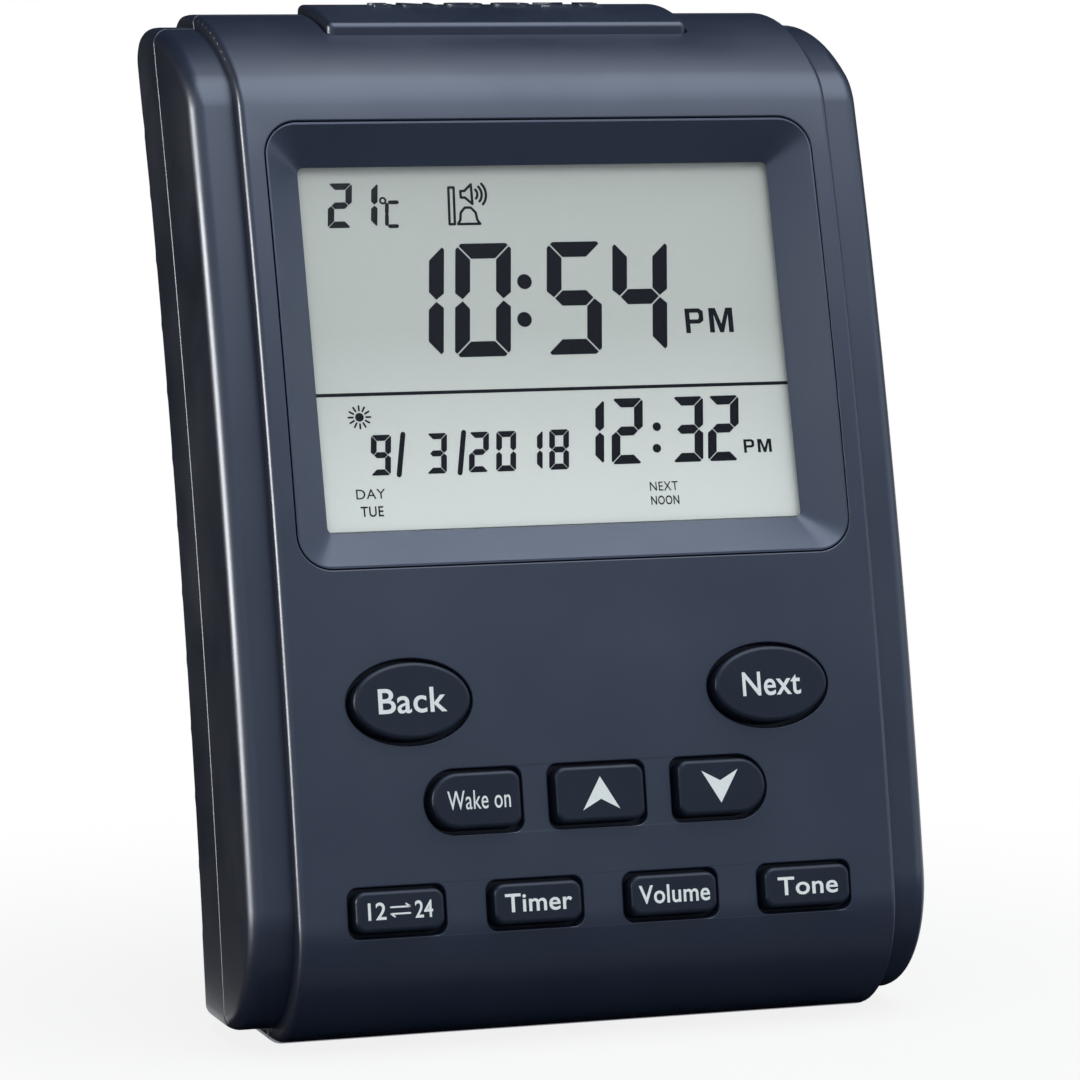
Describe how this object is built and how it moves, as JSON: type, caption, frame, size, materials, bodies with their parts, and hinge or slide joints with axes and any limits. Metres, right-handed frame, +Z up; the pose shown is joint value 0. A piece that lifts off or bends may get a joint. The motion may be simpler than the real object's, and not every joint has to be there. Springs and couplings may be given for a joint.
{
  "type": "azan clock",
  "caption": "Leaning desk clock with a recessed liquid crystal display, push keys below it, a snooze bar on top, a loudspeaker and a battery door at the rear.",
  "frame": {"origin": "on the flat base, on the clock's left-right centre plane", "axes": "+X to the viewer's right, +Y away from the viewer, +Z up"},
  "size_m": [0.109, 0.0722, 0.1563],
  "materials": {
    "case_plastic": "satin moulded plastic, dark blue grey",
    "bezel_plastic": "satin moulded plastic, dark blue grey",
    "key_plastic": "fine satin moulded plastic, darker than the case",
    "window_clear": "clear polished window",
    "lcd_glass": "grey green liquid crystal cell with a matt polariser",
    "light_plate": "milky moulded acrylic",
    "tray_plastic": "off-white moulded plastic",
    "dark_rubber": "black elastomer",
    "grey_rubber": "grey silicone rubber",
    "board_green": "glass fibre board with green solder mask",
    "chip_black": "black moulding compound",
    "tin_plate": "tinned pressed steel",
    "screw_steel": "zinc plated steel",
    "nickel_plate": "nickel plated spring steel",
    "ribbon_film": "flat ribbon cable",
    "cone_paper": "black pressed paper",
    "magnet_grey": "dark ferrite",
    "cell_jacket": "plain printed jacket over a steel can",
    "wire_jacket": "PVC insulated wire"
  },
  "bodies": {
    "case": {"front_shell": "case_plastic", "rear_shell": "case_plastic", "case_screws": "screw_steel", "display_bezel": "bezel_plastic", "display_window": "window_clear", "lcd_cell": "lcd_glass", "backlight_plate": "light_plate", "backlight_led": "light_plate", "zebra_strip": "dark_rubber", "lcd_holder": "tray_plastic", "main_board": "board_green", "main_board_screws": "screw_steel", "controller_chip": "chip_black", "sound_chip": "chip_black", "crystal_can": "tin_plate", "capacitors": "chip_black", "thermistor": "chip_black", "key_board": "board_green", "key_board_screws": "screw_steel", "ribbon_cable": "ribbon_film", "key_mat": "grey_rubber", "snooze_switch": "chip_black", "snooze_board": "board_green", "snooze_board_screws": "screw_steel", "speaker_gasket": "dark_rubber", "speaker_basket": "tin_plate", "speaker_cone": "cone_paper", "speaker_magnet": "magnet_grey", "speaker_screws": "screw_steel", "battery_lower": "cell_jacket", "battery_upper": "cell_jacket", "contact_bridge": "nickel_plate", "contact_positive": "nickel_plate", "contact_negative": "nickel_plate", "battery_wires": "wire_jacket", "speaker_wires": "wire_jacket", "snooze_wires": "wire_jacket"},
    "key_back": {"key_back": "key_plastic"},
    "key_set": {"key_set": "key_plastic"},
    "key_alarm": {"key_alarm": "key_plastic"},
    "key_up": {"key_up": "key_plastic"},
    "key_down": {"key_down": "key_plastic"},
    "key_calendar": {"key_calendar": "key_plastic"},
    "key_timer": {"key_timer": "key_plastic"},
    "key_sound": {"key_sound": "key_plastic"},
    "key_tone": {"key_tone": "key_plastic"},
    "snooze_bar": {"snooze_bar": "key_plastic", "snooze_plunger": "tray_plastic"},
    "battery_door": {"battery_door": "case_plastic"}
  },
  "joints": [
    {"name": "key_back_press", "type": "slide", "parent": "case", "child": "key_back", "axis": [0, 0.9595, -0.2817], "range_m": [0, 0.001], "stiffness_N_per_m": 800, "springref_m": -0.0004, "deforming": ["key_mat"]},
    {"name": "key_set_press", "type": "slide", "parent": "case", "child": "key_set", "axis": [0, 0.9595, -0.2817], "range_m": [0, 0.001], "stiffness_N_per_m": 800, "springref_m": -0.0004, "deforming": ["key_mat"]},
    {"name": "key_alarm_press", "type": "slide", "parent": "case", "child": "key_alarm", "axis": [0, 0.9595, -0.2817], "range_m": [0, 0.001], "stiffness_N_per_m": 800, "springref_m": -0.0004, "deforming": ["key_mat"]},
    {"name": "key_up_press", "type": "slide", "parent": "case", "child": "key_up", "axis": [0, 0.9595, -0.2817], "range_m": [0, 0.001], "stiffness_N_per_m": 800, "springref_m": -0.0004, "deforming": ["key_mat"]},
    {"name": "key_down_press", "type": "slide", "parent": "case", "child": "key_down", "axis": [0, 0.9595, -0.2817], "range_m": [0, 0.001], "stiffness_N_per_m": 800, "springref_m": -0.0004, "deforming": ["key_mat"]},
    {"name": "key_calendar_press", "type": "slide", "parent": "case", "child": "key_calendar", "axis": [0, 0.9595, -0.2817], "range_m": [0, 0.001], "stiffness_N_per_m": 800, "springref_m": -0.0004, "deforming": ["key_mat"]},
    {"name": "key_timer_press", "type": "slide", "parent": "case", "child": "key_timer", "axis": [0, 0.9595, -0.2817], "range_m": [0, 0.001], "stiffness_N_per_m": 800, "springref_m": -0.0004, "deforming": ["key_mat"]},
    {"name": "key_sound_press", "type": "slide", "parent": "case", "child": "key_sound", "axis": [0, 0.9595, -0.2817], "range_m": [0, 0.001], "stiffness_N_per_m": 800, "springref_m": -0.0004, "deforming": ["key_mat"]},
    {"name": "key_tone_press", "type": "slide", "parent": "case", "child": "key_tone", "axis": [0, 0.9595, -0.2817], "range_m": [0, 0.001], "stiffness_N_per_m": 800, "springref_m": -0.0004, "deforming": ["key_mat"]},
    {"name": "snooze_press", "type": "slide", "parent": "case", "child": "snooze_bar", "axis": [0, 0, -1], "range_m": [0, 0.0012], "stiffness_N_per_m": 800, "springref_m": -0.0004},
    {"name": "battery_door_hinge", "type": "hinge", "parent": "case", "child": "battery_door", "pos_m": [0, 0.02615, 0.0034], "axis": [-1, 0, 0], "range_deg": [0, 70]}
  ]
}
